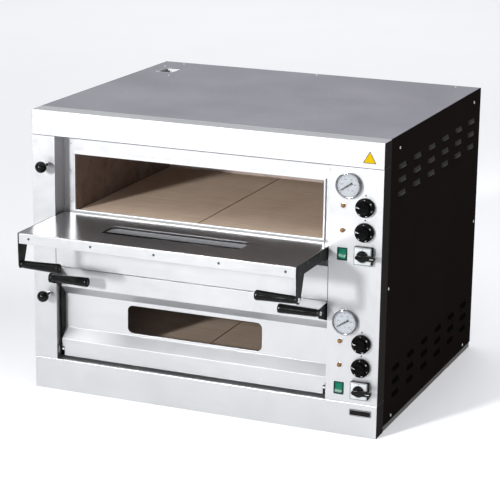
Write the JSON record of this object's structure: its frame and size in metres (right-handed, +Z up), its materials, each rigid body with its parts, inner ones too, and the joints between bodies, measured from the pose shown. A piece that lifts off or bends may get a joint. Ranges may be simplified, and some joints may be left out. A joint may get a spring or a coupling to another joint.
{
  "type": "countertop pizza oven",
  "caption": "Electric double-deck pizza oven on a countertop: drop-down doors with side grips, stone floors, dial thermometers, thermostat knobs and louvred side.",
  "frame": {"origin": "middle of the casing's flat underside", "axes": "+X to the oven's right side as seen by the user, +Y to its back, +Z up; the doors and controls face -Y"},
  "size_m": [0.9793, 1.057, 0.765],
  "materials": {
    "stainless": "finely brushed stainless sheet",
    "dark_stainless": "smooth mirror-like stainless inner sheet",
    "cover_steel": "plain grey steel sheet",
    "chamber_steel": "heat-stained aluminised steel",
    "base_steel": "dark grey satin",
    "black_paint": "satin black paint",
    "black_plastic": "glossy black thermoset",
    "green_plastic": "clear green plastic",
    "switch_plate": "light grey faceplate on a black body",
    "chrome": "polished bezel",
    "badge": "plain dark plaque",
    "door_glass": "tempered pane",
    "element": "dull heated tube",
    "fire_clay": "matte fired clay"
  },
  "bodies": {
    "oven": {"base_pan": "base_steel", "plinth_front": "stainless", "top_fascia": "stainless", "left_column": "stainless", "control_panel": "stainless", "mid_fascia": "stainless", "left_side_panel": "black_paint", "right_side_panel": "black_paint", "top_cover": "cover_steel", "back_panel": "cover_steel", "steam_duct": "cover_steel", "cable_gland": "black_plastic", "badge_plaque": "badge", "lower_chamber_liner": "chamber_steel", "upper_chamber_liner": "chamber_steel", "lower_mouth_frame": "stainless", "upper_mouth_frame": "stainless", "lower_stone_left": "fire_clay", "lower_stone_right": "fire_clay", "upper_stone_left": "fire_clay", "upper_stone_right": "fire_clay", "lower_roof_element": "element", "lower_floor_element": "element", "upper_roof_element": "element", "upper_floor_element": "element", "lower_hinge_pin_left": "stainless", "lower_hinge_pin_right": "stainless", "upper_hinge_pin_left": "stainless", "upper_hinge_pin_right": "stainless", "lower_gauge_case": "chrome", "upper_gauge_case": "chrome", "lower_switch_plate": "switch_plate", "upper_switch_plate": "switch_plate"},
    "lower_door": {"lower_door_skin": "stainless", "lower_door_inner_panel": "dark_stainless", "lower_door_glass": "door_glass", "lower_door_arm_left": "black_paint", "lower_door_arm_right": "black_paint", "lower_door_grip_left": "black_plastic", "lower_door_grip_right": "black_plastic"},
    "upper_door": {"upper_door_skin": "stainless", "upper_door_inner_panel": "dark_stainless", "upper_door_glass": "door_glass", "upper_door_arm_left": "black_paint", "upper_door_arm_right": "black_paint", "upper_door_grip_left": "black_plastic", "upper_door_grip_right": "black_plastic"},
    "lower_damper": {"lower_damper_pull": "black_plastic"},
    "upper_damper": {"upper_damper_pull": "black_plastic"},
    "lower_top_thermostat": {"lower_top_thermostat_knob": "black_plastic"},
    "lower_bottom_thermostat": {"lower_bottom_thermostat_knob": "black_plastic"},
    "upper_top_thermostat": {"upper_top_thermostat_knob": "black_plastic"},
    "upper_bottom_thermostat": {"upper_bottom_thermostat_knob": "black_plastic"},
    "lower_rocker": {"lower_light_rocker": "green_plastic"},
    "upper_rocker": {"upper_light_rocker": "green_plastic"},
    "lower_switch": {"lower_switch_lever": "black_plastic"},
    "upper_switch": {"upper_switch_lever": "black_plastic"},
    "lower_needle": {"lower_gauge_needle": "black_plastic"},
    "upper_needle": {"upper_gauge_needle": "black_plastic"}
  },
  "joints": [
    {"name": "lower_door_hinge", "type": "hinge", "parent": "oven", "child": "lower_door", "pos_m": [0, -0.3965, 0.111], "axis": [1, 0, 0], "range_deg": [0, 90]},
    {"name": "upper_door_hinge", "type": "hinge", "parent": "oven", "child": "upper_door", "pos_m": [0, -0.3965, 0.463], "axis": [-1, 0, 0], "range_deg": [0, 90]},
    {"name": "lower_damper_slide", "type": "slide", "parent": "oven", "child": "lower_damper", "axis": [0, -1, 0], "range_m": [0, 0.05]},
    {"name": "upper_damper_slide", "type": "slide", "parent": "oven", "child": "upper_damper", "axis": [0, -1, 0], "range_m": [0, 0.05]},
    {"name": "lower_top_thermostat_turn", "type": "hinge", "parent": "oven", "child": "lower_top_thermostat", "pos_m": [0.442, -0.4175, 0.248], "axis": [0, 1, 0], "range_deg": [0, 270]},
    {"name": "lower_bottom_thermostat_turn", "type": "hinge", "parent": "oven", "child": "lower_bottom_thermostat", "pos_m": [0.442, -0.4175, 0.185], "axis": [0, 1, 0], "range_deg": [0, 270]},
    {"name": "upper_top_thermostat_turn", "type": "hinge", "parent": "oven", "child": "upper_top_thermostat", "pos_m": [0.442, -0.4175, 0.6], "axis": [0, 1, 0], "range_deg": [0, 270]},
    {"name": "upper_bottom_thermostat_turn", "type": "hinge", "parent": "oven", "child": "upper_bottom_thermostat", "pos_m": [0.442, -0.4175, 0.537], "axis": [0, 1, 0], "range_deg": [0, 270]},
    {"name": "lower_rocker_tilt", "type": "hinge", "parent": "oven", "child": "lower_rocker", "pos_m": [0.384, -0.4115, 0.1235], "axis": [1, 0, 0], "range_deg": [0, 16]},
    {"name": "upper_rocker_tilt", "type": "hinge", "parent": "oven", "child": "upper_rocker", "pos_m": [0.384, -0.4115, 0.4755], "axis": [1, 0, 0], "range_deg": [0, 16]},
    {"name": "lower_switch_turn", "type": "hinge", "parent": "oven", "child": "lower_switch", "pos_m": [0.442, -0.4175, 0.126], "axis": [0, 1, 0], "range_deg": [-90, 0]},
    {"name": "upper_switch_turn", "type": "hinge", "parent": "oven", "child": "upper_switch", "pos_m": [0.442, -0.4175, 0.478], "axis": [0, 1, 0], "range_deg": [-90, 0]},
    {"name": "lower_needle_turn", "type": "hinge", "parent": "oven", "child": "lower_needle", "pos_m": [0.398, -0.4175, 0.3005], "axis": [0, 1, 0], "range_deg": [0, 270]},
    {"name": "upper_needle_turn", "type": "hinge", "parent": "oven", "child": "upper_needle", "pos_m": [0.398, -0.4175, 0.6525], "axis": [0, 1, 0], "range_deg": [0, 270]}
  ]
}
